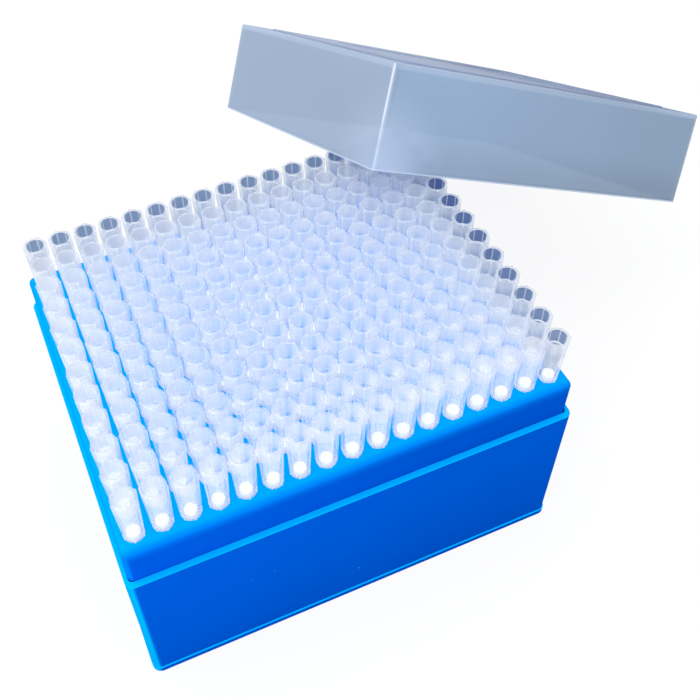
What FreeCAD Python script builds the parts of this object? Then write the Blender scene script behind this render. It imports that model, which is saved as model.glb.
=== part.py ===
import FreeCAD, Part
import math
import os
import re
import Sketcher

# A box of filtered pipette tips: a base, a perforated rack that seats in it, seventeen columns of
# tips with a filter plug in each, and a lid that has been taken off and leans on the back right corner.
# X runs along the columns' count, Y from the front to the back, Z up.
# The origin is the centre of the base's underside.

doc = FreeCAD.newDocument("TipBox")

# name, value in millimetres or degrees, meaning
dimensions = [
    ("columns", 17, "tips from left to right"),
    ("rows", 12, "tips from front to back"),
    ("pitchX", 8.0, "between tip axes, left to right"),
    ("pitchY", 9.0, "between tip axes, front to back"),
    ("marginX", 5.45, "outer tip axis to the rack's side"),
    ("marginY", 6.0, "outer tip axis to the rack's front or back"),
    ("ledgeHeight", 57.4, "underside to the ledge round the rack"),
    ("ledgeSide", 1.3, "ledge that carries the closed lid, left and right"),
    ("ledgeFront", 2.0, "that ledge along the front and the back"),
    ("floorWall", 1.6, "base's floor"),
    ("ledgeEdge", 0.3, "rounding of the ledge's outer edge"),
    ("beadProud", 0.4, "foot bead beyond the wall"),
    ("beadRise", 2.4, "foot bead's height"),
    ("beadEdge", 0.25, "foot bead's chamfer"),
    ("supportWall", 1.6, "thickness of a support rib in the base"),
    ("supportReach", 3.6, "support rib's reach from the wall"),
    ("supportsLong", 5, "support ribs on each long wall"),
    ("supportsShort", 4, "support ribs on each short wall"),
    ("supportInset", 18.0, "first support rib from the corner"),
    ("seatGap", 0.1, "clearance between rack and base"),
    ("skirtDrop", 8.0, "rack's skirt below the ledge"),
    ("rackRise", 13.8, "deck above the ledge"),
    ("skirtWall", 1.6, "rack's skirt"),
    ("deckWall", 2.0, "rack's deck"),
    ("rackCorner", 2.0, "rack's upright corners, radius"),
    ("skirtCorner", 0.4, "those corners inside the skirt, radius"),
    ("cornerEase", 0.6, "base's hollow has corners this much sharper than the rack's"),
    ("deckEdge", 1.6, "rounding round the deck"),
    ("holeGap", 0.13, "clearance round a tip in its deck hole"),
    ("stiffenerWall", 1.2, "stiffening rib under the deck"),
    ("stiffenerDrop", 7.0, "stiffening rib's depth below the deck"),
    ("stiffenerStep", 3, "rows between stiffening ribs"),
    ("collarRise", 17.9, "tip's collar above the deck"),
    ("mouthWidth", 5.5, "straight bore that takes a pipette's nozzle, diameter"),
    ("mouthDepth", 5.0, "straight bore's length"),
    ("collarWall", 0.82, "collar's wall round the mouth"),
    ("rimEdge", 0.15, "chamfer of the rim"),
    ("stepIn", 0.3, "step at the bottom of the mouth"),
    ("stepDrop", 0.25, "height of the step"),
    ("finWall", 0.7, "thickness of a fin on the collar"),
    ("finProud", 0.29, "fins beyond the rim"),
    ("finFootProud", 0.38, "fins beyond the collar at the deck"),
    ("finStop", 0.1, "fins end this far below the rim"),
    ("finRoot", 0.35, "fins start this deep in the collar's wall"),
    ("finCount", 6, "fins on a collar"),
    ("neckWall", 0.5, "tip's wall round the filter, just below the deck"),
    ("footShoulder", 0.22, "collar's foot beyond the neck"),
    ("neckDrop", 0.6, "height of the cone between collar and neck"),
    ("shankWidth", 3.7, "tip where its taper grows finer, diameter"),
    ("shankDrop", 14.0, "that place below the deck"),
    ("tipDrop", 42.0, "tip's point below the deck"),
    ("pointWidth", 1.0, "tip's point, diameter"),
    ("pointBore", 0.5, "outlet, diameter"),
    ("filterBore", 4.0, "pocket that holds the filter, diameter"),
    ("filterSeat", 0.25, "step that the filter stands on"),
    ("filterGap", 0.02, "clearance round the filter"),
    ("filterLength", 6.0, "filter plug"),
    ("filterTop", 1.5, "filter's top above the deck"),
    ("filterLead", 0.6, "pocket above the filter's top"),
    ("filterEdge", 0.3, "chamfer of the filter's top"),
    ("lidGap", 0.3, "closed lid's clearance beside the rack's foot"),
    ("lidRoof", 1.7, "lid's top"),
    ("lidRoom", 0.4, "closed lid's clearance over the rims"),
    ("lidDraft", 1.0, "draft of the lid's walls, degrees"),
    ("lidCorner", 1.4, "lid's upright corners, radius"),
    ("lidEdge", 0.7, "rounding round the lid's top"),
    ("plateauInset", 9.0, "stacking plateau from the lid's side"),
    ("plateauRise", 0.5, "stacking plateau above the lid's top"),
    ("plateauCorner", 4.0, "stacking plateau's corners, radius"),
    ("panelInset", 29.0, "sunk panel from the lid's side"),
    ("panelDepth", 0.4, "sunk panel's depth"),
    ("panelCorner", 2.0, "sunk panel's corners, radius"),
    ("bearColumn", 14, "back row tip that carries the leaning lid, counted from the left"),
    ("bearColumnShift", -1.28, "bearing point from that tip's axis, along X"),
    ("bearRow", 9, "right column tip that carries the leaning lid, counted from the front"),
    ("bearRowShift", 2.6, "bearing point from that tip's axis, along Y"),
    ("bearAngle", 42.46, "lid's short wall to the line between its bearing points, degrees"),
]

sheet = doc.addObject("Spreadsheet::Sheet", "Sizes")
for line, (alias, value, meaning) in enumerate(dimensions, start=1):
    sheet.set(f"A{line}", str(value))
    sheet.setAlias(f"A{line}", alias)
    sheet.set(f"B{line}", meaning)
doc.recompute()

# what follows from the driving dimensions, each from those above it
derived = {
    "spanX": "((columns-1)*pitchX)",
    "spanY": "((rows-1)*pitchY)",
    "rackX": "(spanX+2*marginX)",
    "rackY": "(spanY+2*marginY)",
    "baseX": "(rackX+2*ledgeSide)",
    "baseY": "(rackY+2*ledgeFront)",
    "sideWall": "(ledgeSide-seatGap)",
    "frontWall": "(ledgeFront-seatGap)",
    "hollowCorner": "(rackCorner-cornerEase)",
    "baseCorner": "(hollowCorner+sideWall)",
    "seatHeight": "(ledgeHeight-skirtDrop)",
    "rackHeight": "(skirtDrop+rackRise)",
    "deckHeight": "(ledgeHeight+rackRise)",
    "rimHeight": "(deckHeight+collarRise)",
    "lidHeight": "(rackRise+collarRise+lidRoom+lidRoof)",
    "lidWall": "(ledgeSide-lidGap)",
    "rimWidth": "(mouthWidth+2*collarWall)",
    "throatWidth": "(mouthWidth-2*stepIn)",
    "neckWidth": "(filterBore+2*neckWall)",
    "collarFoot": "(neckWidth+2*footShoulder)",
    "holeWidth": "(collarFoot+2*holeGap)",
}
aliases = [alias for alias, value, meaning in dimensions]


def expand(formula):
    """Write a formula out in the sheet's own cells."""
    for word in reversed(derived):
        formula = re.sub(rf"\b{word}\b", derived[word], formula)
    return re.sub(rf"\b({'|'.join(aliases)})\b", r"Sizes.\1", formula)


def size(formula):
    """The number that a formula gives now."""
    return float(sheet.evalExpression(expand(formula)))


def bind(item, path, formula):
    item.setExpression(path, expand(formula))


def newBody(label):
    body = doc.addObject("PartDesign::Body", label)
    body.Label = label
    body.AllowCompound = True
    return body


def originPart(body, role):
    return next(item for item in body.Origin.OriginFeatures if item.Role == role)


def newSketch(body, name, role, height="0"):
    """A sketch on one of the body's own origin planes, raised along that plane's normal."""
    sketch = body.newObject("Sketcher::SketchObject", name)
    sketch.AttachmentSupport = (originPart(body, role), [""])
    sketch.MapMode = "FlatFace"
    if height != "0":
        bind(sketch, "AttachmentOffset.Base.z", height)
    return sketch


def measure(sketch, kind, geometry, point, formula):
    """Fix one coordinate of a sketch point; a leading minus puts it on the axis's negative side."""
    axis = {"DistanceX": -2, "DistanceY": -1}[kind]
    if formula == "0":
        sketch.addConstraint(Sketcher.Constraint("PointOnObject", geometry, point, axis))
        return
    ends = (geometry, point, -1, 1) if formula.startswith("-") else (-1, 1, geometry, point)
    length = formula.lstrip("-")
    index = sketch.addConstraint(Sketcher.Constraint(kind, *ends, size(length)))
    bind(sketch, f"Constraints[{index}]", length)


def outline(sketch, corners):
    """A closed polygon through (x, y) formulas."""
    points = [FreeCAD.Vector(size(x), size(y), 0) for x, y in corners]
    count = len(points)
    for index in range(count):
        sketch.addGeometry(Part.LineSegment(points[index], points[(index + 1) % count]))
    for index in range(count):
        sketch.addConstraint(Sketcher.Constraint("Coincident", index, 2, (index + 1) % count, 1))
    for index, (x, y) in enumerate(corners):
        measure(sketch, "DistanceX", index, 1, x)
        measure(sketch, "DistanceY", index, 1, y)


def circle(sketch, x, y, diameter):
    centre = FreeCAD.Vector(size(x), size(y), 0)
    sketch.addGeometry(Part.Circle(centre, FreeCAD.Vector(0, 0, 1), size(diameter) / 2))
    measure(sketch, "DistanceX", 0, 3, x)
    measure(sketch, "DistanceY", 0, 3, y)
    index = sketch.addConstraint(Sketcher.Constraint("Diameter", 0, size(diameter)))
    bind(sketch, f"Constraints[{index}]", diameter)


def roundedRectangle(sketch, width, depth, radius):
    """A rectangle centred on the origin with rounded corners."""
    halfX = size(width) / 2
    halfY = size(depth) / 2
    bend = size(radius)
    signs = [(1, 1), (-1, 1), (-1, -1), (1, -1)]
    for quarter, (signX, signY) in enumerate(signs):
        centre = FreeCAD.Vector(signX * (halfX - bend), signY * (halfY - bend), 0)
        arc = Part.Circle(centre, FreeCAD.Vector(0, 0, 1), bend)
        start = quarter * math.pi / 2
        sketch.addGeometry(Part.ArcOfCircle(arc, start, start + math.pi / 2))
    for quarter in range(4):
        start = sketch.getPoint(quarter, 2)
        end = sketch.getPoint((quarter + 1) % 4, 1)
        sketch.addGeometry(Part.LineSegment(start, end))
    for quarter in range(4):
        side = 4 + quarter
        sketch.addConstraint(Sketcher.Constraint("Tangent", quarter, 2, side, 1))
        sketch.addConstraint(Sketcher.Constraint("Tangent", side, 2, (quarter + 1) % 4, 1))
        straight = "Horizontal" if quarter % 2 == 0 else "Vertical"
        sketch.addConstraint(Sketcher.Constraint(straight, side))
    for quarter in range(1, 4):
        sketch.addConstraint(Sketcher.Constraint("Equal", 0, quarter))
    sketch.addConstraint(Sketcher.Constraint("Symmetric", 0, 3, 2, 3, -1, 1))
    sizes = [
        (Sketcher.Constraint("Radius", 0, bend), radius),
        (Sketcher.Constraint("DistanceX", 5, 1, 7, 1, 2 * halfX), width),
        (Sketcher.Constraint("DistanceY", 6, 1, 4, 1, 2 * halfY), depth),
    ]
    for constraint, formula in sizes:
        index = sketch.addConstraint(constraint)
        bind(sketch, f"Constraints[{index}]", formula)


def extrude(body, kind, name, sketch, length, **settings):
    """A pad or pocket of a sketch."""
    feature = body.newObject(f"PartDesign::{kind}", name)
    feature.Profile = sketch
    bind(feature, "Length", length)
    for setting, value in settings.items():
        setattr(feature, setting, value)
    sketch.Visibility = False
    doc.recompute()
    return feature


def repeat(body, name, originals, first, second=None):
    """A row or grid of copies; first and second are (axis role, length, count)."""
    pattern = body.newObject("PartDesign::LinearPattern", name)
    pattern.Originals = originals
    if not originals:
        pattern.TransformMode = "Whole shape"
    pattern.Direction = (originPart(body, first[0]), [""])
    bind(pattern, "Length", first[1])
    bind(pattern, "Occurrences", first[2])
    if second:
        pattern.Direction2 = (originPart(body, second[0]), [""])
        bind(pattern, "Length2", second[1])
        bind(pattern, "Occurrences2", second[2])
    body.Tip = pattern
    doc.recompute()
    return pattern


def edgesAt(feature, height):
    """Names of the feature's edges that lie level at a height."""
    level = size(height)
    names = []
    for number, edge in enumerate(feature.Shape.Edges, start=1):
        box = edge.BoundBox
        if abs(box.ZMin - level) < 1e-3 and abs(box.ZMax - level) < 1e-3:
            names.append(f"Edge{number}")
    return names


def soften(body, kind, name, feature, names, formula):
    """A fillet or chamfer on the named edges."""
    edge = body.newObject(f"PartDesign::{kind}", name)
    edge.Base = (feature, names)
    bind(edge, "Radius" if kind == "Fillet" else "Size", formula)
    body.Tip = edge
    doc.recompute()
    return edge


def makeBase():
    """Open box with a foot bead, and ribs inside that carry the rack's skirt."""
    body = newBody("base")
    beadSketch = newSketch(body, "BeadOutline", "XY_Plane")
    roundedRectangle(beadSketch, "baseX+2*beadProud", "baseY+2*beadProud", "baseCorner+beadProud")
    bead = extrude(body, "Pad", "FootBead", beadSketch, "beadRise")
    soften(body, "Chamfer", "BeadEdge", bead, edgesAt(bead, "beadRise"), "beadEdge")
    blockSketch = newSketch(body, "BaseOutline", "XY_Plane")
    roundedRectangle(blockSketch, "baseX", "baseY", "baseCorner")
    block = extrude(body, "Pad", "BaseBlock", blockSketch, "ledgeHeight")
    soften(body, "Fillet", "LedgeEdge", block, edgesAt(block, "ledgeHeight"), "ledgeEdge")
    hollowSketch = newSketch(body, "HollowOutline", "XY_Plane", "floorWall")
    roundedRectangle(hollowSketch, "baseX-2*sideWall", "baseY-2*frontWall", "hollowCorner")
    extrude(body, "Pocket", "Hollow", hollowSketch, "ledgeHeight", Reversed=True)
    addSupports(body, "Long", "X_Axis", ("baseX", "baseY", "frontWall"), "supportsLong")
    addSupports(body, "Short", "Y_Axis", ("baseY", "baseX", "sideWall"), "supportsShort")
    return body


def addSupports(body, word, role, sizes, count):
    """Pairs of ribs on two opposite walls, spaced along them."""
    along, across, wall = sizes
    start = f"{along}/2-supportInset"
    low = f"-({start}+supportWall/2)"
    high = f"-({start}-supportWall/2)"
    far = f"{across}/2-{wall}/2"
    near = f"{across}/2-{wall}-supportReach"
    pairs = []
    for side in ("", "-"):
        sketch = newSketch(body, f"Support{word}{len(pairs)}", "XY_Plane", "floorWall/2")
        farSide = f"{side}({far})"
        nearSide = f"{side}({near})"
        corners = [(low, farSide), (low, nearSide), (high, nearSide), (high, farSide)]
        if role == "Y_Axis":
            corners = [(y, x) for x, y in corners]
        outline(sketch, corners)
        pad = extrude(body, "Pad", f"{word}Support{len(pairs)}", sketch, "seatHeight-floorWall/2")
        pairs.append(pad)
    repeat(body, f"{word}Supports", pairs, (role, f"2*({start})", count))


def makeRack():
    """Perforated deck with a skirt that drops into the base."""
    body = newBody("rack")
    blockSketch = newSketch(body, "RackOutline", "XY_Plane")
    roundedRectangle(blockSketch, "rackX", "rackY", "rackCorner")
    block = extrude(body, "Pad", "RackBlock", blockSketch, "rackHeight")
    soften(body, "Fillet", "DeckEdge", block, edgesAt(block, "rackHeight"), "deckEdge")
    hollowSketch = newSketch(body, "SkirtHollow", "XY_Plane")
    roundedRectangle(hollowSketch, "rackX-2*skirtWall", "rackY-2*skirtWall", "skirtCorner")
    extrude(body, "Pocket", "UnderDeck", hollowSketch, "rackHeight-deckWall", Reversed=True)
    addStiffeners(body)
    holeSketch = newSketch(body, "HoleOutline", "XY_Plane", "rackHeight")
    circle(holeSketch, "-(spanX/2)", "-(spanY/2)", "holeWidth")
    hole = extrude(body, "Pocket", "DeckHole", holeSketch, "2*deckWall")
    repeat(body, "DeckHoles", [hole], ("X_Axis", "spanX", "columns"), ("Y_Axis", "spanY", "rows"))
    bind(body, "Placement.Base.z", "seatHeight")
    return body


def addStiffeners(body):
    """Ribs under the deck from side to side, midway between rows."""
    first = "spanY/2-(stiffenerStep-0.5)*pitchY"
    sketch = newSketch(body, "StiffenerOutline", "XY_Plane", "rackHeight-deckWall/2")
    ends = "rackX/2-skirtWall/2"
    low = f"-({first}+stiffenerWall/2)"
    high = f"-({first}-stiffenerWall/2)"
    outline(sketch, [(f"-({ends})", low), (ends, low), (ends, high), (f"-({ends})", high)])
    rib = extrude(body, "Pad", "Stiffener", sketch, "stiffenerDrop+deckWall/2", Reversed=True)
    count = "floor((rows-1)/stiffenerStep)"
    repeat(body, "Stiffeners", [rib], ("Y_Axis", f"({count}-1)*stiffenerStep*pitchY", count))


def tipProfile():
    """Half section of a tip from its point up the outside and back down the bore."""
    throatHeight = "collarRise-mouthDepth-stepDrop"
    pocketFloor = "-(filterLength-filterTop)"
    return [
        ("pointWidth/2", "-tipDrop"),
        ("shankWidth/2", "-shankDrop"),
        ("neckWidth/2", "-neckDrop"),
        ("collarFoot/2", "0"),
        ("rimWidth/2", "collarRise-rimEdge"),
        ("rimWidth/2-rimEdge", "collarRise"),
        ("mouthWidth/2", "collarRise"),
        ("mouthWidth/2", "collarRise-mouthDepth"),
        ("throatWidth/2", throatHeight),
        ("filterBore/2", "filterTop+filterLead"),
        ("filterBore/2", pocketFloor),
        ("filterBore/2-filterSeat", pocketFloor),
        ("pointBore/2", "-tipDrop"),
    ]


def makeTips(label):
    """One column of tips: a turned shape with fins on its collar, repeated from front to back."""
    body = newBody(label)
    profile = newSketch(body, "TipProfile", "XZ_Plane")
    outline(profile, tipProfile())
    turned = body.newObject("PartDesign::Revolution", "TipBody")
    turned.Profile = profile
    turned.ReferenceAxis = (profile, ["V_Axis"])
    turned.Angle = 360
    doc.recompute()
    finSketch = newSketch(body, "FinProfile", "XZ_Plane")
    outline(finSketch, [
        ("collarFoot/2-finRoot", "0"),
        ("collarFoot/2+finFootProud", "0"),
        ("rimWidth/2+finProud", "collarRise-finStop"),
        ("rimWidth/2-finRoot", "collarRise-finStop"),
    ])
    fin = extrude(body, "Pad", "Fin", finSketch, "finWall", SideType="Symmetric")
    fins = body.newObject("PartDesign::PolarPattern", "Fins")
    fins.Originals = [fin]
    fins.Axis = (finSketch, ["V_Axis"])
    fins.Angle = 360
    bind(fins, "Occurrences", "finCount")
    body.Tip = fins
    doc.recompute()
    repeat(body, "TipColumn", [], ("Y_Axis", "spanY", "rows"))
    return body


def makeFilters(label):
    """One column of filter plugs, each standing on the step in its tip's bore."""
    body = newBody(label)
    sketch = newSketch(body, "FilterOutline", "XY_Plane", "-(filterLength-filterTop)")
    circle(sketch, "0", "0", "filterBore-2*filterGap")
    plug = extrude(body, "Pad", "Filter", sketch, "filterLength")
    soften(body, "Chamfer", "FilterEdge", plug, edgesAt(plug, "filterTop"), "filterEdge")
    repeat(body, "FilterColumn", [], ("Y_Axis", "spanY", "rows"))
    return body


def copyColumn(source, label):
    """A body that follows another body's shape."""
    body = newBody(label)
    follower = doc.addObject("PartDesign::FeatureBase", f"{label}_shape")
    body.Group = [follower]
    follower.BaseFeature = source
    body.Tip = follower
    return body


def makeColumns(kind, make):
    """Every column of tips or filters, from left to right."""
    bodies = []
    for column in range(int(size("columns"))):
        label = f"{kind}_column_{column + 1:02d}"
        body = make(label) if column == 0 else copyColumn(bodies[0], label)
        bind(body, "Placement.Base.x", f"{column}*pitchX-spanX/2")
        bind(body, "Placement.Base.y", "-spanY/2")
        bind(body, "Placement.Base.z", "deckHeight")
        bodies.append(body)
    return bodies


def makeLid():
    """Drafted cover with a stacking plateau and a sunk panel on top, its open side at its own z = 0."""
    body = newBody("lid")
    blockSketch = newSketch(body, "LidOutline", "XY_Plane")
    roundedRectangle(blockSketch, "baseX", "baseY", "lidCorner")
    block = extrude(body, "Pad", "LidBlock", blockSketch, "lidHeight")
    bind(block, "TaperAngle", "-lidDraft")
    doc.recompute()
    soften(body, "Fillet", "LidEdge", block, edgesAt(block, "lidHeight"), "lidEdge")
    hollowSketch = newSketch(body, "LidHollow", "XY_Plane")
    roundedRectangle(hollowSketch, "baseX-2*lidWall", "baseY-2*lidWall", "lidCorner-lidWall/2")
    hollow = extrude(body, "Pocket", "LidRoom", hollowSketch, "lidHeight-lidRoof", Reversed=True)
    bind(hollow, "TaperAngle", "-lidDraft")
    plateauSketch = newSketch(body, "PlateauOutline", "XY_Plane", "lidHeight-lidRoof/2")
    roundedRectangle(plateauSketch, "baseX-2*plateauInset", "baseY-2*plateauInset", "plateauCorner")
    extrude(body, "Pad", "Plateau", plateauSketch, "plateauRise+lidRoof/2")
    panelSketch = newSketch(body, "PanelOutline", "XY_Plane", "lidHeight+plateauRise")
    roundedRectangle(panelSketch, "baseX-2*panelInset", "baseY-2*panelInset", "panelCorner")
    extrude(body, "Pocket", "Panel", panelSketch, "panelDepth")
    return body


def leaningPlacement():
    """Where the lid comes to rest: two of its lower edges on tip rims, its far corner on the table."""
    rim = size("rimWidth/2-rimEdge")
    columnShift = size("bearColumnShift")
    rowShift = size("bearRowShift")
    height = size("rimHeight")
    # bearing points on the rims of a back row tip and of a right column tip
    left = FreeCAD.Vector(
        size("(bearColumn-1)*pitchX-spanX/2") + columnShift,
        size("spanY/2") + math.sqrt(rim ** 2 - columnShift ** 2),
        height,
    )
    right = FreeCAD.Vector(
        size("spanX/2") + math.sqrt(rim ** 2 - rowShift ** 2),
        size("(bearRow-1)*pitchY-spanY/2") + rowShift,
        height,
    )
    level = (right - left).normalize()
    outward = FreeCAD.Vector(-level.y, level.x, 0)
    # in the lid's lower plane, measured along the bearing line and outward from it:
    # the two wall directions, and the inner corner where the two bearing walls meet
    angle = math.radians(size("bearAngle"))
    shortWay = (-math.cos(angle), math.sin(angle))
    longWay = (math.sin(angle), math.cos(angle))
    shortRun = (right - left).Length * math.cos(angle)
    corner = (-shortRun * shortWay[0], -shortRun * shortWay[1])
    # the far corner is round, so the lid stands on the point of its arc that reaches furthest out
    bend = size("lidCorner")
    wall = size("lidWall")
    reachShort = size("baseY") - wall - bend
    reachLong = size("baseX") - wall - bend
    drop = corner[1] + shortWay[1] * reachShort + longWay[1] * reachLong + bend
    lean = math.asin(height / drop)
    downhill = outward * math.cos(lean) - FreeCAD.Vector(0, 0, math.sin(lean))

    def place(along, out):
        return left + level * along + downhill * out

    shortAxis = level * shortWay[0] + downhill * shortWay[1]
    longAxis = level * longWay[0] + downhill * longWay[1]
    middle = place(*corner)
    middle += shortAxis * (size("baseY/2") - wall)
    middle += longAxis * (size("baseX/2") - wall)
    rotation = FreeCAD.Rotation(longAxis, shortAxis, longAxis.cross(shortAxis), "ZXY")
    return FreeCAD.Placement(middle, rotation)


base = makeBase()
rack = makeRack()
tips = makeColumns("tips", makeTips)
filters = makeColumns("filters", makeFilters)
lid = makeLid()
lid.Placement = leaningPlacement()
doc.recompute()

subparts = [base, rack, lid] + tips + filters
for item in doc.Objects:
    if "Invalid" in item.State or "Error" in item.State:
        raise RuntimeError(f"{item.Label} did not compute: {item.State}")
for part in subparts:
    if part.Shape.isNull() or not part.Shape.isValid():
        raise RuntimeError(f"{part.Label} has no valid shape")

os.makedirs("parts", exist_ok=True)
for part in subparts:
    part.Shape.exportStep(f"parts/{part.Label}.step")
    print(part.Label, len(part.Shape.Solids), round(part.Shape.Volume, 1))
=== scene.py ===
import math
import random

import bpy
import numpy as np
from mathutils import Euler, Matrix, Vector


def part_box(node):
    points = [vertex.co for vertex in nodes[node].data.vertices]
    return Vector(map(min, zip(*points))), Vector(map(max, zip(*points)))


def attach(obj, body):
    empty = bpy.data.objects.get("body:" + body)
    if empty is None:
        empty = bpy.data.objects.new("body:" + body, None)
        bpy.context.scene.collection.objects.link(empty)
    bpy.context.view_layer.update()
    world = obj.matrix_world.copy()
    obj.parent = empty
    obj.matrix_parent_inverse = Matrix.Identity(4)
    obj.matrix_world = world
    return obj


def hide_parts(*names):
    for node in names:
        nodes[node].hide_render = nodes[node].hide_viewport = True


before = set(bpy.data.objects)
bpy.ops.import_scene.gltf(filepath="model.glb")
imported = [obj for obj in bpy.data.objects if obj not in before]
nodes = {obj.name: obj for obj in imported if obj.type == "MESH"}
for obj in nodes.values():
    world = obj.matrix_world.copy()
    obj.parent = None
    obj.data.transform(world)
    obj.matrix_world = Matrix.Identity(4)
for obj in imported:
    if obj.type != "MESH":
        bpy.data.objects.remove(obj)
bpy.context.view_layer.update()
print("frame loaded:", len(nodes), "nodes")

mm = 0.001

# the view: place in metres, then degrees right of straight ahead, down, and of roll
viewPoint = {
    "place": (-0.0668, -0.1867, 0.3044),
    "heading": 21.44,
    "dip": 48.86,
    "roll": -2.30,
    "lens": 50.29,
    "shift": (0.0655, -0.0518),
    "clip": (0.01, 20.0),
}


def placeCamera(settings):
    camera = bpy.data.objects.new("camera", bpy.data.cameras.new("camera"))
    bpy.context.scene.collection.objects.link(camera)
    heading, dip = math.radians(settings["heading"]), math.radians(settings["dip"])
    level = math.cos(dip)
    forward = Vector((math.sin(heading) * level, math.cos(heading) * level, -math.sin(dip)))
    roll = Matrix.Rotation(math.radians(-settings["roll"]), 3, forward)
    camera.matrix_world = (roll @ forward.to_track_quat("-Z", "Y").to_matrix()).to_4x4()
    camera.location = settings["place"]
    camera.data.lens = settings["lens"]
    camera.data.shift_x, camera.data.shift_y = settings["shift"]
    camera.data.clip_start, camera.data.clip_end = settings["clip"]
    bpy.context.scene.camera = camera


placeCamera(viewPoint)
print("camera placed")


# small helpers for materials

def newMaterial(name):
    material = bpy.data.materials.new(name)
    material.use_nodes = True
    material.node_tree.nodes.clear()
    return material, material.node_tree


def addNode(tree, kind, inputs=None, **settings):
    node = tree.nodes.new(kind)
    for name, value in settings.items():
        setattr(node, name, value)
    for name, value in (inputs or {}).items():
        setInput(tree, node.inputs[name], value)
    return node


def setInput(tree, socket, value):
    if isinstance(value, bpy.types.NodeSocket):
        tree.links.new(value, socket)
    else:
        socket.default_value = value


def calc(tree, operation, *values, clamp=False):
    inputs = dict(enumerate(values))
    return addNode(tree, "ShaderNodeMath", inputs, operation=operation, use_clamp=clamp).outputs[0]


def times(tree, first, second):
    return calc(tree, "MULTIPLY", first, second)


def larger(tree, first, second):
    return calc(tree, "MAXIMUM", first, second)


def ramp(tree, value, low, high, toLow=0.0, toHigh=1.0):  # smooth step between two values
    inputs = {"Value": value, "From Min": low, "From Max": high, "To Min": toLow, "To Max": toHigh}
    return addNode(tree, "ShaderNodeMapRange", inputs, interpolation_type="SMOOTHSTEP").outputs[0]


def blendColours(tree, share, first, second):
    node = addNode(tree, "ShaderNodeMix", data_type="RGBA")
    colours = [socket for socket in node.inputs if socket.type == "RGBA"]
    setInput(tree, node.inputs[0], share)
    setInput(tree, colours[0], first)
    setInput(tree, colours[1], second)
    return next(socket for socket in node.outputs if socket.type == "RGBA")


def brighten(tree, colour, value):
    return addNode(tree, "ShaderNodeHueSaturation", {"Color": colour, "Value": value}).outputs[0]


def noise(tree, vector, scale, detail):
    inputs = {"Vector": vector, "Scale": scale, "Detail": detail}
    return addNode(tree, "ShaderNodeTexNoise", inputs).outputs["Fac"]


def bump(tree, height, strength, distance):
    inputs = {"Height": height, "Strength": strength, "Distance": distance}
    return addNode(tree, "ShaderNodeBump", inputs).outputs["Normal"]


def splitAxes(tree, vector):
    return addNode(tree, "ShaderNodeSeparateXYZ", {0: vector}).outputs


def objectPlace(tree):
    return addNode(tree, "ShaderNodeTexCoord").outputs["Object"]


def faceNormal(tree):
    return addNode(tree, "ShaderNodeNewGeometry").outputs["Normal"]


def glossShare(tree, least, most):  # the same from both sides of a thin wall
    facing = addNode(tree, "ShaderNodeLayerWeight", {"Blend": 0.5}).outputs["Facing"]
    return calc(tree, "MULTIPLY_ADD", calc(tree, "POWER", facing, 5.0), most - least, least)


def mixShaders(tree, share, first, second):
    return addNode(tree, "ShaderNodeMixShader", {0: share, 1: first, 2: second}).outputs[0]


def glossy(tree, colour, roughness, **inputs):
    inputs = {"Color": rgba(colour), "Roughness": roughness} | inputs
    return addNode(tree, "ShaderNodeBsdfAnisotropic", inputs).outputs[0]


def scatter(tree, colour, through):  # matt from the front, with a share of the light passed on
    front = addNode(tree, "ShaderNodeBsdfDiffuse", {"Color": colour}).outputs[0]
    behind = addNode(tree, "ShaderNodeBsdfTranslucent", {"Color": colour}).outputs[0]
    return mixShaders(tree, through, front, behind)


def clearShader(tree, colour):
    return addNode(tree, "ShaderNodeBsdfTransparent", {"Color": rgba(colour)}).outputs[0]


def setSurface(tree, shader):
    output = addNode(tree, "ShaderNodeOutputMaterial")
    tree.links.new(shader, output.inputs["Surface"])


def rgba(colour):
    return (*colour, 1.0)


white = (1.0, 1.0, 1.0)

# blue moulded plastic of the base and the rack
bluePlastic = {
    "roughness": 0.5,
    "shine": 0.04,                 # share of plain shine, tinted as the pigment lies right under the skin
    "shineColour": (0.0, 0.35, 1.0),
    "litFrom": (0.05, 0.6),        # a face takes the painted lit colour as it turns up or left between these
    "leftFrom": (0.4, 0.8),
    "plainFrom": (0.3, 0.7),       # and is freed of the sides' painted shade between these
    "foot": 0.88,                  # painted shade: how dark the sides grow from top to bottom
    "edgeRound": 2.6 * mm,         # the top's painted light fades over this to the front edge
    "footGlow": 0.3,               # painted glow above the ledge, as a share of the painted glow under the deck
    "footRise": 0.7,               # and its height, as a share too
    "ledgeDip": 1.0 * mm,          # it is full this far below the ledge
    "mottle": (60.0, 3.0, 0.10),   # scale, detail and depth of the uneven pigment
    "grain": (900.0, 4.0),         # scale and detail of the fine relief
    "relief": (0.10, 0.4 * mm),    # its strength and height
    "fleckSpread": 7.0 * mm,       # between the specks of dust
    "fleckRadius": 0.22 * mm,
    "fleckPower": 3.0,             # the higher, the more of them are small
    "fleckCover": 0.8,
    "fleckColour": (0.55, 0.75, 1.0),
}
# painted light: lit is for upward faces and left for those to the left, which take the light, side is the
# shaded rest ends is the painted shade by which the side is brighter or darker at its left and right end
# glow is the painted light by which the side brightens over the rise to its upper and lower edge
# edge is how much of the painted lit colour is left at the front edge of the top
blueBase = {
    "lit": (0.0, 0.47, 1.0),
    "left": (0.0, 0.34, 1.0),
    "side": (0.0, 0.084, 0.57),
    "ends": (0.98, 0.86),
    "glow": 0.0,
    "rise": 4.0 * mm,
    "edge": 1.0,
}
blueRack = {
    "lit": (0.0, 0.32, 1.0),
    "left": (0.0, 0.27, 1.0),
    "side": (0.0, 0.078, 0.56),
    "ends": (1.04, 0.84),
    "glow": 0.32,
    "rise": 4.0 * mm,
    "edge": 0.4,
}


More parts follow.
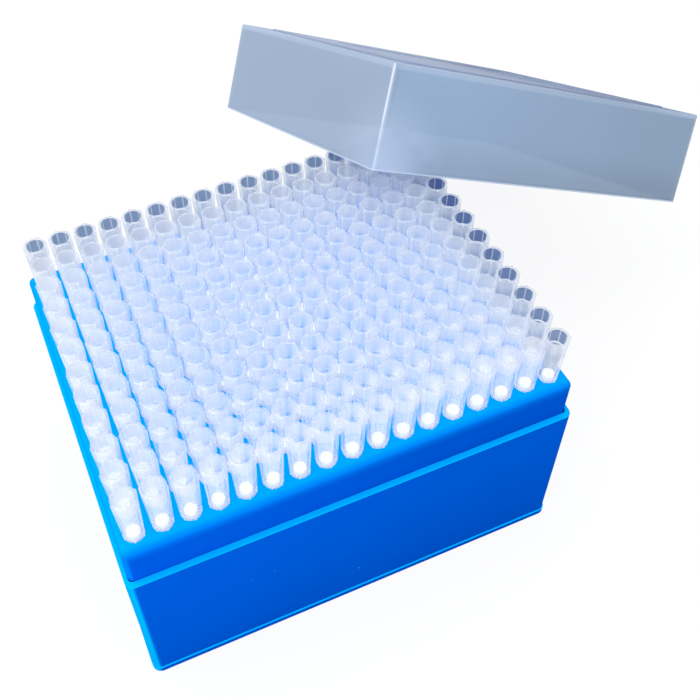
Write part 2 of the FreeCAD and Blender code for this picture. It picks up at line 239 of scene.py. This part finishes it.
def bluePaintedLightShare(tree, piece, spots, turned, tones, options):  # how much of the painted lit colour a face takes, with painted glow near the sides' upper and lower edges
    low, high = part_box(piece)
    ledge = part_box("base")[1].z
    rounded = ramp(tree, spots["Y"], low.y, low.y + options["edgeRound"], tones["edge"], 1.0)
    share = times(tree, ramp(tree, turned, *options["litFrom"]), rounded)
    rise, glow = tones["rise"], tones["glow"]
    upper = ramp(tree, spots["Z"], high.z - rise, high.z, 0.0, glow)
    top, bottom = ledge + options["footRise"] * rise, ledge - options["ledgeDip"]
    lower = ramp(tree, spots["Z"], top, bottom, 0.0, options["footGlow"] * glow)
    return larger(tree, share, larger(tree, upper, lower))


def bluePaintedShadeAndMottle(tree, piece, place, spots, turned, tones, options):  # painted shade along and down the sides, and uneven pigment
    low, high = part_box(piece)
    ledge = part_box("base")[1].z
    paintedSideShade = ramp(tree, spots["X"], low.x, high.x, *tones["ends"])
    paintedSideShade = times(tree, paintedSideShade, ramp(tree, spots["Z"], 0.0, ledge, options["foot"], 1.0))
    paintedSideShade = larger(tree, paintedSideShade, ramp(tree, turned, *options["plainFrom"]))
    scale, detail, depth = options["mottle"]
    mottle = calc(tree, "MULTIPLY_ADD", noise(tree, place, scale, detail), depth, 1 - depth / 2)
    return times(tree, paintedSideShade, mottle)


def addFlecks(tree, place, colour, options):
    spread, radius = options["fleckSpread"], options["fleckRadius"]
    cells = addNode(tree, "ShaderNodeTexVoronoi", {"Vector": place, "Scale": 1 / spread}).outputs
    pick = addNode(tree, "ShaderNodeSeparateColor", {0: cells["Color"]}).outputs
    reach = times(tree, calc(tree, "POWER", pick["Red"], options["fleckPower"]), radius / spread)
    fleck = calc(tree, "LESS_THAN", cells["Distance"], reach)
    fleck = times(tree, fleck, times(tree, pick["Green"], options["fleckCover"]))
    return blendColours(tree, fleck, colour, rgba(options["fleckColour"]))


def makeBluePlastic(name, piece, tones, options):
    material, tree = newMaterial(name)
    place = objectPlace(tree)
    spots = splitAxes(tree, place)
    axes = splitAxes(tree, faceNormal(tree))
    leftward = times(tree, axes["X"], -1.0)
    turned = larger(tree, axes["Z"], leftward)
    leftShare = ramp(tree, leftward, *options["leftFrom"])
    # painted light: faces turned up or left take lit copies of the blue, the rest the shaded side colour
    paintedLitColour = blendColours(tree, leftShare, rgba(tones["lit"]), rgba(tones["left"]))
    share = bluePaintedLightShare(tree, piece, spots, turned, tones, options)
    colour = blendColours(tree, share, rgba(tones["side"]), paintedLitColour)
    colour = brighten(tree, colour, bluePaintedShadeAndMottle(tree, piece, place, spots, turned, tones, options))
    colour = addFlecks(tree, place, colour, options)
    relief = bump(tree, noise(tree, place, *options["grain"]), *options["relief"])
    body = addNode(tree, "ShaderNodeBsdfPrincipled", {
        "Base Color": colour,
        "Roughness": options["roughness"],
        "Specular IOR Level": 0.0,
        "Normal": relief,
    }).outputs[0]
    shine = glossy(tree, options["shineColour"], options["roughness"], Normal=relief)
    setSurface(tree, mixShaders(tree, options["shine"], body, shine))
    return material


# translucent plastic of the tips
tipPlastic = {
    "milk": (0.99, 0.995, 1.0),
    "mouthShade": (0.25, 0.335, 0.48),  # painted shade inside the mouths that have no tips behind them
    "deep": (0.08, 0.13, 0.33),       # the same painted shade where it is darkest
    "full": 0.6,                      # shade at which the painted mouth shade takes over from milk
    "shadeCover": 0.84,
    "least": 0.045,                   # cover of a clear wall seen square on
    "cloudCover": 0.105,
    "edgeCover": 0.26,
    "edgePower": 2.0,                 # the higher, the closer to the edge it stays
    "through": 0.5,                   # share of light scattered on through the wall
    "lightCover": 0.1,                # cover that light meets, as a share of what is seen
    "roughness": 0.07,
    "gloss": (0.04, 0.25),            # square on and at the edge
}


def readValue(tree, name):
    return addNode(tree, "ShaderNodeAttribute", attribute_name=name).outputs["Fac"]


def makeTipPlastic(options):
    material, tree = newMaterial("tipPlastic")
    cloud, shade = readValue(tree, "cloud"), readValue(tree, "shade")
    edge = addNode(tree, "ShaderNodeLayerWeight", {"Blend": 0.5}).outputs["Facing"]
    edge = calc(tree, "POWER", edge, options["edgePower"])
    cover = calc(tree, "MULTIPLY_ADD", cloud, options["cloudCover"], options["least"])
    cover = calc(tree, "MULTIPLY_ADD", edge, options["edgeCover"], cover)
    shaded = calc(tree, "DIVIDE", shade, options["full"], clamp=True)
    cover = calc(tree, "MULTIPLY_ADD", shaded, options["shadeCover"], cover, clamp=True)
    present = ramp(tree, cloud, -1.0, 0.0)  # what is in the box doesn't show
    cover = times(tree, cover, present)
    seen = addNode(tree, "ShaderNodeLightPath").outputs["Is Camera Ray"]
    seen = calc(tree, "MULTIPLY_ADD", seen, 1 - options["lightCover"], options["lightCover"])
    cover = times(tree, cover, seen)
    # painted shade: the milk turns to the mouth shade colours, and the wall grows denser, where the shade
    # attribute is set
    colour = blendColours(tree, shaded, rgba(options["milk"]), rgba(options["mouthShade"]))
    colour = blendColours(tree, ramp(tree, shade, options["full"], 1.0), colour, rgba(options["deep"]))
    wall = mixShaders(tree, cover, clearShader(tree, white), scatter(tree, colour, options["through"]))
    gloss = times(tree, glossShare(tree, *options["gloss"]), present)
    setSurface(tree, mixShaders(tree, gloss, wall, glossy(tree, white, options["roughness"])))
    return material


# porous white filter plugs
filterFibre = {
    "dark": (0.97, 0.975, 0.98),
    "light": (1.0, 1.0, 1.0),
    "grain": (5200.0, 2.0),        # scale and detail
    "relief": (0.15, 0.1 * mm),    # strength and height
    "roughness": 0.9,
}


def makeFilterFibre(options):
    material, tree = newMaterial("filterFibre")
    grain = noise(tree, objectPlace(tree), *options["grain"])
    shader = addNode(tree, "ShaderNodeBsdfPrincipled", {
        "Base Color": blendColours(tree, grain, rgba(options["dark"]), rgba(options["light"])),
        "Roughness": options["roughness"],
        "Normal": bump(tree, grain, *options["relief"]),
    })
    setSurface(tree, shader.outputs[0])
    return material


# translucent plastic of the lid
# places along it are shares of its length from the middle, heights are from its open side
# a pair of distances says where a line or band is gone and where it is full
lidPlastic = {
    # the walls and the roof are painted lit and shaded copies of the plastic, the roof with painted shade
    # towards its far end
    "shortWall": (0.435, 0.52, 0.64),
    "longWall": (0.43, 0.56, 0.725),
    "wallTilt": 0.1,                     # most that a wall's face leans, as a cosine
    "roof": (0.41, 0.48, 0.66),
    "roofFar": (0.12, 0.195, 0.43),
    "roofTurn": (-0.05, 0.3),            # from the one to the other
    "roofFrom": (0.5, 0.8),              # a face counts as roof as it turns up between these
    "farTurn": (-0.35, 0.5),             # painted shade: the long side darkens from here to here
    "farShade": (0.97, 0.80),
    "lowTurn": 18 * mm,                  # and, as painted shade too, below this
    "lowShade": 0.85,
    "haze": (18.0, 2.0, 0.12),           # scale, detail and depth of the uneven wall
    "grain": (1400.0, 2.0, 0.05),
    "glow": (0.62, 0.72, 0.86),          # painted glow where the nearest corner gathers light
    "glowReach": (30 * mm, 4 * mm),
    "glowMost": 0.95,
    "shortGlow": 0.45,                   # left of it on the short side
    "edge": (0.80, 0.90, 1.0),           # colour of the painted highlight lines and painted light bands
    "cornerHighlight": (0.72 * mm, 0.36 * mm),
    "cornerFade": (20 * mm, 0.35),       # it is fainter below
    "sparkle": (0.97, 0.97, 0.99),       # and a painted highlight shines at its top
    "sparkleFrom": (12 * mm, 20 * mm),
    # painted light in bands along the top and end edges and along the lip
    "topBand": (1.955 * mm, 1.445 * mm),
    "endBand": (1.56 * mm, 1.04 * mm),
    "bandShare": 0.26,
    "lip": (0.65 * mm, 0.35 * mm),
    "lipShare": 0.7,
    "brim": (1.3 * mm, 0.9 * mm),        # painted light round the roof
    "brimShare": 0.5,
    "endDarkLine": (3.38 * mm, 1.95 * mm),  # darker lines painted beside the band and the lip
    "lipDarkLine": (1.5 * mm, 1.0 * mm),
    "darkLineShare": 0.08,
    "draft": 1.0,                        # degrees
    "topRound": 0.5 * mm,
    "cover": 0.76,
    "through": 0.3,
    "clearTint": (0.8, 0.88, 0.97),
    "roughness": 0.28,
    "gloss": (0.03, 0.2),
}


def lidPlacement(tilt):  # its axes, the middle of its open side, and its size
    mesh = nodes["lid"].data
    faces = sorted(mesh.polygons, key=lambda face: face.area, reverse=True)
    up = faces[0].normal.copy()
    if up.z < 0:
        up.negate()
    wallFace = next(face for face in faces if abs(face.normal @ up) < tilt)
    acrossAxis = (wallFace.normal - up * (wallFace.normal @ up)).normalized()
    if acrossAxis.y < 0:
        acrossAxis.negate()
    longAxis = acrossAxis.cross(up)
    turn = Matrix((longAxis, acrossAxis, up))
    local = [turn @ vertex.co for vertex in mesh.vertices]
    low = Vector([min(point[axis] for point in local) for axis in range(3)])
    high = Vector([max(point[axis] for point in local) for axis in range(3)])
    foot = (low + high) / 2
    foot.z = low.z
    return turn.transposed(), turn.transposed() @ foot, high - low


def lidGaps(tree, axes, size, options):  # distances in from the ends, sides and top of its leaning walls
    lean = times(tree, axes["Z"], math.tan(math.radians(options["draft"])))
    gaps = []
    for axis, half in (("X", size.x / 2), ("Y", size.y / 2)):
        out = calc(tree, "ADD", calc(tree, "ABSOLUTE", axes[axis]), lean)
        gaps.append(calc(tree, "SUBTRACT", half, out))
    gaps.append(calc(tree, "SUBTRACT", size.z - options["topRound"], axes["Z"]))
    return gaps


def lidLitAndShadedColour(tree, axes, size, onLong, roof, options):
    wall = blendColours(tree, onLong, rgba(options["shortWall"]), rgba(options["longWall"]))
    start, end = options["roofTurn"]
    along = ramp(tree, axes["X"], start * size.x, end * size.x)
    upper = blendColours(tree, along, rgba(options["roof"]), rgba(options["roofFar"]))
    return blendColours(tree, roof, wall, upper)


def lidShadeAndHaze(tree, local, axes, size, onLong, options):  # painted shade on the long sides, and the uneven wall
    start, end = options["farTurn"]
    paintedShade = ramp(tree, axes["X"], start * size.x, end * size.x, *options["farShade"])
    paintedShade = times(tree, paintedShade, ramp(tree, axes["Z"], options["lowTurn"], 0.0, 1.0, options["lowShade"]))
    paintedShade = larger(tree, paintedShade, calc(tree, "SUBTRACT", 1.0, onLong))
    scale, detail, depth = options["haze"]
    haze = calc(tree, "MULTIPLY_ADD", noise(tree, local, scale, detail), depth, 1 - depth / 2)
    scale, detail, depth = options["grain"]
    haze = calc(tree, "SUBTRACT", haze, depth / 2)
    haze = calc(tree, "MULTIPLY_ADD", noise(tree, local, scale, detail), depth, haze)
    return times(tree, paintedShade, haze)


def lidDarkLines(tree, axes, endGap, onLong, options):
    darkLines = times(tree, ramp(tree, endGap, *options["endDarkLine"]), onLong)
    darkLines = larger(tree, darkLines, ramp(tree, axes["Z"], *options["lipDarkLine"]))
    return times(tree, darkLines, -options["darkLineShare"])


def lidPaintedGlow(tree, local, size, onLong, options):
    nearest = (-size.x / 2, -size.y / 2, 0.0)
    gap = addNode(tree, "ShaderNodeVectorMath", {0: local, 1: nearest}, operation="DISTANCE").outputs["Value"]
    glow = ramp(tree, gap, *options["glowReach"], 0.0, options["glowMost"])
    kept = calc(tree, "MULTIPLY_ADD", onLong, 1 - options["shortGlow"], options["shortGlow"])
    return times(tree, glow, kept)


def lidCornerHighlight(tree, axes, endGap, sideGap, options):
    line = ramp(tree, larger(tree, endGap, sideGap), *options["cornerHighlight"])
    height, least = options["cornerFade"]
    return times(tree, line, ramp(tree, axes["Z"], 0.0, height, least, 1.0))


def lidLitBands(tree, axes, endGap, topGap, onLong, options):
    topLight = ramp(tree, topGap, *options["topBand"], 0.0, options["bandShare"])
    endLight = ramp(tree, endGap, *options["endBand"], 0.0, options["bandShare"])
    lipLight = ramp(tree, axes["Z"], *options["lip"], 0.0, options["lipShare"])
    return larger(tree, larger(tree, topLight, times(tree, endLight, onLong)), lipLight)


def makeLidPlastic(options):
    material, tree = newMaterial("lidPlastic")
    turn, foot, size = lidPlacement(options["wallTilt"])
    local = addNode(tree, "ShaderNodeMapping", {
        "Vector": objectPlace(tree),
        "Location": foot,
        "Rotation": turn.to_euler(),
    }, vector_type="TEXTURE").outputs[0]
    axes = splitAxes(tree, local)
    endGap, sideGap, topGap = lidGaps(tree, axes, size, options)
    upward = addNode(tree, "ShaderNodeVectorMath", {
        0: faceNormal(tree),
        1: turn @ Vector((0, 0, 1)),
    }, operation="DOT_PRODUCT").outputs["Value"]
    roof = ramp(tree, calc(tree, "ABSOLUTE", upward), *options["roofFrom"])
    onWall = calc(tree, "SUBTRACT", 1.0, roof)
    onLong = calc(tree, "LESS_THAN", sideGap, endGap)

    darkLines = times(tree, lidDarkLines(tree, axes, endGap, onLong, options), onWall)
    value = calc(tree, "ADD", lidShadeAndHaze(tree, local, axes, size, onLong, options), darkLines)
    colour = brighten(tree, lidLitAndShadedColour(tree, axes, size, onLong, roof, options), value)
    glow = times(tree, lidPaintedGlow(tree, local, size, onLong, options), onWall)
    colour = blendColours(tree, glow, colour, rgba(options["glow"]))

    cornerHighlight = lidCornerHighlight(tree, axes, endGap, sideGap, options)
    paintedLightLines = larger(tree, cornerHighlight, lidLitBands(tree, axes, endGap, topGap, onLong, options))
    nearer = calc(tree, "MINIMUM", endGap, sideGap)
    brim = times(tree, ramp(tree, nearer, *options["brim"], 0.0, options["brimShare"]), roof)
    paintedLightLines = larger(tree, times(tree, paintedLightLines, onWall), brim)
    colour = blendColours(tree, paintedLightLines, colour, rgba(options["edge"]))
    # painted highlight at the top of the near corner
    sparkle = times(tree, cornerHighlight, ramp(tree, axes["Z"], *options["sparkleFrom"]))
    colour = blendColours(tree, times(tree, sparkle, onWall), colour, rgba(options["sparkle"]))

    body = scatter(tree, colour, options["through"])
    wall = mixShaders(tree, options["cover"], clearShader(tree, options["clearTint"]), body)
    gloss = glossShare(tree, *options["gloss"])
    setSurface(tree, mixShaders(tree, gloss, wall, glossy(tree, white, options["roughness"])))
    return material


def coatNode(name, material):
    node = nodes[name]
    node.data.materials.clear()
    node.data.materials.append(material)


coatNode("base", makeBluePlastic("baseBlue", "base", blueBase, bluePlastic))
coatNode("rack", makeBluePlastic("rackBlue", "rack", blueRack, bluePlastic))
coatNode("lid", makeLidPlastic(lidPlastic))
print("base, rack and lid coated")


# the tips: turned walls with six fins, each tip dropped in at its own turn
# sizes in mm, heights from the deck
tipShape = {
    "rows": 12,
    "rowPitch": 9.0,
    "rimHeight": 17.9,
    "rimRadius": 3.57,
    "rimRound": 0.17,
    "mouthRadius": 2.75,
    "mouthTop": 17.5,
    "lipRound": 0.16,
    "mouthFloor": 12.9,
    "mouthRound": 0.15,
    "stepFloor": 12.65,
    "stepRound": 0.3,
    "throatRadius": 2.45,
    "throatFloor": 9.5,
    "waistTop": 7.0,
    "pocketTop": 2.1,
    "pocketRadius": 2.0,
    "pocketFloor": -4.5,
    "seatRadius": 1.75,
    "outletRadius": 0.25,
    "footRadius": 2.72,
    "neck": (-0.6, 2.50),          # height and radius
    "shank": (-14.0, 1.85),
    "point": (-42.0, 0.50),
    "footTop": 0.8,                # heights outside at which the stretches of wall change
    "ankleTop": 2.0,
    "clearTop": 3.6,
    "waistFloor": 5.5,
    "collarStep": 0.2,             # the cloud turns over within this round the mouth's floor
    "fins": 6,
    "finHalf": 0.35,               # half a fin's thickness
    "finEdge": (1.1, 0.9),         # its root and its shoulder, in halves of its thickness
    "finShoulder": 0.93,           # how far out the shoulder is
    "finReach": (0.38, 0.28),      # beyond the collar, at its foot and at its top
    "finFoot": 0.03,
    "finTop": 17.8,
    "finRound": 0.35,
    "finCap": 0.03,
    "bead": (0.2, 0.22),           # round the foot, how far out and how high
    "beadTurn": 0.6,               # the height of its round, as a share
    "sole": (0.06, 0.12, 0.12),    # fine groove in the foot: its two heights, and the wall left outside it
    "arcSteps": 5,
    "roundTurns": (20, 50, 90),    # degrees at which a rounded edge has its rings
    "lean": 0.25,                  # most that a tip stands out of true, degrees
    "seed": 7,
}
# how cloudy each stretch of wall is
tipClouds = {
    "hidden": -1.0,                # what is in the box
    "sole": 7.5,                   # the ring round the filter at the foot, where the wall gathers light
    "bead": 4.0,
    "foot": 3.4,
    "ankle": 2.2,
    "clear": 0.35,                 # round the filter
    "waist": 0.95,
    "collar": 1.6,                 # round the mouth
    "line": 1.7,
    "rim": 1.4,
    "mouth": 3.1,
    "step": 3.2,
    "throat": 1.5,
    "fin": 0.9,                    # a fin adds this outside
    "finWithin": 0.25,             # and this where it shows inside
}
# painted shade in the outer mouths, which have no tips behind them, as shares
tipShade = {
    "backRows": [0.65, 0.22, 0.06],    # from the back row inwards
    "rightColumns": [1.0, 0.20],       # from the right column inwards
    "frontEnd": 0.70,                  # what is left of it at the front of a right column
    "away": (0.37, 0.93),              # the way in which the outer mouths look out
    "turn": (1.4, 0.5),                # how it grows round a mouth to that side
    "edges": 0.3,                      # what is left of it at the rim
    "step": 0.25,                      # at the mouth's floor
    "fin": 0.25,                       # in line with a fin
    "wall": 0.5,                       # on the near wall outside
    "wallHeights": (7.0, 17.0),
    "tones": {"rim": 0.10, "line": 0.10, "collar": 0.075},  # the least painted shade, on every tip's rim and upper collar
}


def ringAngles(shape):  # angle and share of the fin's reach
    half = math.asin(shape["finHalf"] / shape["rimRadius"])
    root, shoulder = (half * share for share in shape["finEdge"])
    out = shape["finShoulder"]
    sector = 2 * math.pi / shape["fins"]
    gap = (sector - 2 * root) / (shape["arcSteps"] + 1)
    points = []
    for fin in range(shape["fins"]):
        middle = fin * sector
        points += [(middle - root, 0.0), (middle - shoulder, out), (middle, 1.0)]
        points += [(middle + shoulder, out), (middle + root, 0.0)]
        points += [(middle + root + gap * step, 0.0) for step in range(1, shape["arcSteps"] + 1)]
    return points


def roundedRings(shape, radius, bend, way):  # from the wall over to the flat, or back with way -1
    rings = []
    for turn in shape["roundTurns"][::way]:
        angle = math.radians(turn)
        height = shape["rimHeight"] - bend * (1 - math.sin(angle))
        out = radius - way * bend * (1 - math.cos(angle))
        rings.append((height, out, 0.0, "rim" if turn == 90 else "line"))
    return rings


def outerRings(shape):  # height, radius, reach of the fins, stretch
    slope = (shape["rimRadius"] - shape["footRadius"]) / (shape["rimHeight"] - shape["rimRound"])
    low, high = shape["finReach"]
    foot = shape["footRadius"]
    out, up = shape["bead"]
    rings = [(*shape[place], 0.0, "hidden") for place in ("point", "shank", "neck")]
    rings.append((0.0, foot, 0.0, "sole"))
    rings.append((shape["finFoot"], foot + out, low - out, "sole"))
    rings.append((shape["beadTurn"] * up, foot + out, low - out, "bead"))
    stretches = [
        (up, "bead"),
        (shape["footTop"], "foot"),
        (shape["ankleTop"], "ankle"),
        (shape["clearTop"], "clear"),
        (shape["waistFloor"], "waist"),
        (shape["stepFloor"] - shape["collarStep"], "waist"),
        (shape["mouthFloor"] + shape["collarStep"], "collar"),
        (shape["finTop"] - shape["finRound"], "collar"),
        (shape["finTop"], "line"),
    ]
    for height, label in stretches:
        reach = low + (high - low) * height / shape["finTop"]
        rings.append((height, foot + slope * height, reach, label))
    rings.append((shape["finTop"] + shape["finCap"], foot + slope * shape["finTop"], 0.0, "line"))
    top = roundedRings(shape, shape["rimRadius"], shape["rimRound"], 1)
    return rings + top[1:]


def innerRings(shape):
    mouth, throat, pocket = shape["mouthRadius"], shape["throatRadius"], shape["pocketRadius"]
    slope = (throat - pocket) / (shape["stepFloor"] - shape["pocketTop"])

    def boreRadius(height):
        return throat - slope * (shape["stepFloor"] - height)

    low, high, edge = shape["sole"]
    stepEnd = shape["stepFloor"] - shape["stepRound"]
    stretches = [
        (shape["mouthTop"], mouth, "mouth"),
        (shape["mouthFloor"] + shape["mouthRound"], mouth, "mouth"),
        (shape["mouthFloor"], mouth, "step"),
        (shape["stepFloor"], throat, "step"),
        (stepEnd, boreRadius(stepEnd), "throat"),
        (shape["throatFloor"], boreRadius(shape["throatFloor"]), "throat"),
        (shape["waistTop"], boreRadius(shape["waistTop"]), "waist"),
        (shape["pocketTop"], pocket, "clear"),
        (high, pocket, "sole"),
        (high, shape["footRadius"] - edge, "sole"),
        (low, shape["footRadius"] - edge, "hidden"),
        (low, pocket, "hidden"),
        (shape["pocketFloor"], pocket, "hidden"),
        (shape["pocketFloor"], shape["seatRadius"], "hidden"),
        (shape["point"][0], shape["outletRadius"], "hidden"),
    ]
    rings = roundedRings(shape, mouth, shape["lipRound"], -1)
    return rings + [(height, radius, 0.0, label) for height, radius, label in stretches]


def ringFaces(ringCount, ringSize, closed):
    faces = []
    for ring in range(ringCount if closed else ringCount - 1):
        near, far = ring * ringSize, (ring + 1) % ringCount * ringSize
        for step in range(ringSize):
            after = (step + 1) % ringSize
            faces.append((near + step, near + after, far + after, far + step))
    return np.array(faces)


def makeTip(shape, cloudy, shading):  # points, faces, and what its material reads at each point
    outside, inside = outerRings(shape), innerRings(shape)
    around = ringAngles(shape)
    floor, ceiling = shading["wallHeights"]
    points = []
    values = {"cloud": [], "inner": [], "outer": [], "tone": []}
    for index, (height, radius, reach, label) in enumerate(outside + inside):
        onOutside = index < len(outside)
        within = index > len(outside) + 1 and height > 0
        inner = shading["step"] if label == "step" else 1.0
        edge = shading["edges"] if label in ("rim", "line") else 0.0
        onWall = onOutside and floor < height < ceiling
        fin = cloudy["fin"] if onOutside else cloudy["finWithin"]
        for angle, share in around:
            wide = radius + share * reach
            points.append((wide * math.cos(angle), wide * math.sin(angle), height))
            crest = shading["fin"] if share == 1.0 else 1.0
            values["cloud"].append(cloudy[label] + fin * share)
            values["inner"].append(inner * crest if within else edge)
            values["outer"].append(1 - share if onWall else 0.0)
            values["tone"].append(shading["tones"].get(label, 0.0))
    values = {label: np.array(numbers) for label, numbers in values.items()}
    faces = ringFaces(len(outside) + len(inside), len(around), True)
    return np.array(points) * mm, faces, values


crispAngle = math.radians(38)  # edges that turn by more than this stay sharp


def newPiece(name, points, faces, material, attributes=None):
    mesh = bpy.data.meshes.new(name)
    mesh.from_pydata(points.tolist(), [], faces)
    mesh.shade_smooth()
    mesh.set_sharp_from_angle(angle=crispAngle)
    for label, values in (attributes or {}).items():
        layer = mesh.attributes.new(label, "FLOAT", "POINT")
        layer.data.foreach_set("value", values.astype(np.float32))
    mesh.materials.append(material)
    piece = bpy.data.objects.new(name, mesh)
    bpy.context.scene.collection.objects.link(piece)
    return piece


def columnNames(kind):
    return sorted(name for name in nodes if name.startswith(kind))


def rowPlaces(name, shape):  # where the tips of a column stand
    low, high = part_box(name)
    middle = (low + high) / 2
    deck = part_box("rack")[1].z
    rows, pitch = shape["rows"], shape["rowPitch"] * mm
    return [(middle.x, middle.y + (row - (rows - 1) / 2) * pitch, deck) for row in range(rows)]


def fromEnd(values, place, count):
    step = count - 1 - place
    return values[step] if step < len(values) else 0.0


# painted shade of one tip: on the far inner wall and the near outer wall, never less than its tones
def shadeTip(values, placed, dark, shading):
    about = placed[:, :2] / np.linalg.norm(placed[:, :2], axis=1)[:, None]
    facing = about @ np.array(shading["away"])
    gain, middle = shading["turn"]
    shade = values["inner"] * np.clip(middle + facing * gain, 0, 1)
    wall = shading["wall"] * values["outer"] * np.clip(middle - facing * gain, 0, 1)
    return np.maximum(np.maximum(shade, wall) * dark, values["tone"])


def makeTipColumns(shape, shading, material):
    draw = random.Random(shape["seed"])
    points, faces, values = makeTip(shape, tipClouds, shading)
    names, rows, front = columnNames("tips_column"), shape["rows"], shading["frontEnd"]
    for column, name in enumerate(names):
        allPoints, allShade = [], []
        side = fromEnd(shading["rightColumns"], column, len(names))
        for row, place in enumerate(rowPlaces(name, shape)):
            turn = Matrix.Rotation(draw.uniform(0, 2 * math.pi / shape["fins"]), 3, "Z")
            lean = [math.radians(draw.uniform(-shape["lean"], shape["lean"])) for axis in range(2)]
            placed = points @ np.array(Euler((*lean, 0)).to_matrix() @ turn).T
            back = fromEnd(shading["backRows"], row, rows)
            dark = max(back, side * (front + (1 - front) * row / (rows - 1)))
            allShade.append(shadeTip(values, placed, dark, shading))
            allPoints.append(placed + place)
        allFaces = np.concatenate([faces + row * len(points) for row in range(rows)]).tolist()
        attributes = {"cloud": np.tile(values["cloud"], rows), "shade": np.concatenate(allShade)}
        allPoints = np.concatenate(allPoints)
        piece = newPiece("tipsColumn" + name[-2:], allPoints, allFaces, material, attributes)
        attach(piece, "root")
        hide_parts(name)
    print("tips made:", len(names), "columns")


makeTipColumns(tipShape, tipShade, makeTipPlastic(tipPlastic))


# the filters: plugs with a rounded top, sizes in mm, heights from the deck
filterShape = {
    "bottom": -4.5,
    "top": 1.5,
    "radius": 1.98,
    "round": 0.45,
    "dome": 0.12,                  # rise of the top's middle
    "domeRadius": 0.6,
    "steps": 4,
    "sides": 36,
}


def makeFilter(shape):
    bend, steps, sides = shape["round"], shape["steps"], shape["sides"]
    rings = [(shape["bottom"], shape["radius"])]
    for step in range(steps + 1):
        angle = step * math.pi / 2 / steps
        height = shape["top"] - bend + bend * math.sin(angle)
        rings.append((height, shape["radius"] - bend + bend * math.cos(angle)))
    rings.append((shape["top"] + shape["dome"], shape["domeRadius"]))
    points = []
    for height, radius in rings:
        for side in range(sides):
            angle = 2 * math.pi * side / sides
            points.append((radius * math.cos(angle), radius * math.sin(angle), height))
    last = (len(rings) - 1) * sides
    caps = [list(range(sides))[::-1], list(range(last, last + sides))]
    return np.array(points) * mm, ringFaces(len(rings), sides, False).tolist() + caps


def makeFilterColumns(shape, tips, material):
    points, faces = makeFilter(shape)
    for name in columnNames("filters_column"):
        allPoints, allFaces = [], []
        for row, place in enumerate(rowPlaces(name, tips)):
            allPoints.append(points + place)
            allFaces += [[corner + row * len(points) for corner in face] for face in faces]
        allPoints = np.concatenate(allPoints)
        piece = newPiece("filtersColumn" + name[-2:], allPoints, allFaces, material)
        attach(piece, "root")
        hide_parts(name)
    print("filters made")


makeFilterColumns(filterShape, tipShape, makeFilterFibre(filterFibre))


# floor, world and lamps
surroundings = {
    "floorSize": 6.0,
    "floorColour": (0.93, 0.94, 0.95),
    "floorGlow": 0.90,             # white seen on the floor beside what the lamps put there
    "skyColour": (0.92, 0.96, 1.0),
    "skyLight": 1.0,
}
# a lamp's direction from the middle of the rack, its distance and width, and its power
lamps = {
    "key": {"towards": (-0.69, -0.49, 0.53), "far": 1.3, "wide": 0.16, "watts": 4.0},
    "top": {"towards": (-0.25, 0.15, 0.95), "far": 1.3, "wide": 0.9, "watts": 5.4},
    "front": {"towards": (0.25, -0.9, 0.45), "far": 1.5, "wide": 0.8, "watts": 0.6},
}


def seenShare(tree):  # 1 for rays that show the background, directly or by gloss or glass
    rays = addNode(tree, "ShaderNodeLightPath").outputs
    share = larger(tree, rays["Is Camera Ray"], rays["Is Glossy Ray"])
    return larger(tree, share, rays["Is Transmission Ray"])


def makeFloor(options):
    material, tree = newMaterial("floor")
    colour = rgba(options["floorColour"])
    plain = addNode(tree, "ShaderNodeBsdfDiffuse", {"Color": colour}).outputs[0]
    glow = addNode(tree, "ShaderNodeEmission", {"Color": rgba(white), "Strength": 1.0}).outputs[0]
    share = times(tree, seenShare(tree), options["floorGlow"])
    setSurface(tree, mixShaders(tree, share, plain, glow))
    half = options["floorSize"] / 2
    corners = [(-half, -half, 0), (half, -half, 0), (half, half, 0), (-half, half, 0)]
    mesh = bpy.data.meshes.new("floor")
    mesh.from_pydata(corners, [], [(0, 1, 2, 3)])
    mesh.materials.append(material)
    floor = bpy.data.objects.new("floor", mesh)
    bpy.context.scene.collection.objects.link(floor)


def makeWorld(options):
    world = bpy.data.worlds.new("studio")
    bpy.context.scene.world = world
    world.use_nodes = True
    tree = world.node_tree
    tree.nodes.clear()
    sky = {"Color": rgba(options["skyColour"]), "Strength": options["skyLight"]}
    light = addNode(tree, "ShaderNodeBackground", sky).outputs[0]
    plain = addNode(tree, "ShaderNodeBackground", {"Color": rgba(white), "Strength": 1.0}).outputs[0]
    mixed = mixShaders(tree, seenShare(tree), light, plain)
    tree.links.new(mixed, addNode(tree, "ShaderNodeOutputWorld").inputs["Surface"])


def makeLamps(options):
    low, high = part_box("rack")
    middle = (low + high) / 2
    for name, lamp in options.items():
        light = bpy.data.lights.new(name, "AREA")
        light.shape = "DISK"
        light.size = lamp["wide"]
        light.energy = lamp["watts"]
        item = bpy.data.objects.new(name, light)
        towards = Vector(lamp["towards"]).normalized()
        item.location = middle + towards * lamp["far"]
        item.rotation_euler = (-towards).to_track_quat("-Z", "Y").to_euler()
        bpy.context.scene.collection.objects.link(item)


makeFloor(surroundings)
makeWorld(surroundings)
makeLamps(lamps)
scene = bpy.context.scene
scene.view_settings.view_transform = "Standard"
scene.cycles.transparent_max_bounces = 64
scene.cycles.diffuse_bounces = 16
scene.cycles.glossy_bounces = 12
scene.cycles.max_bounces = 24
print("stage set")
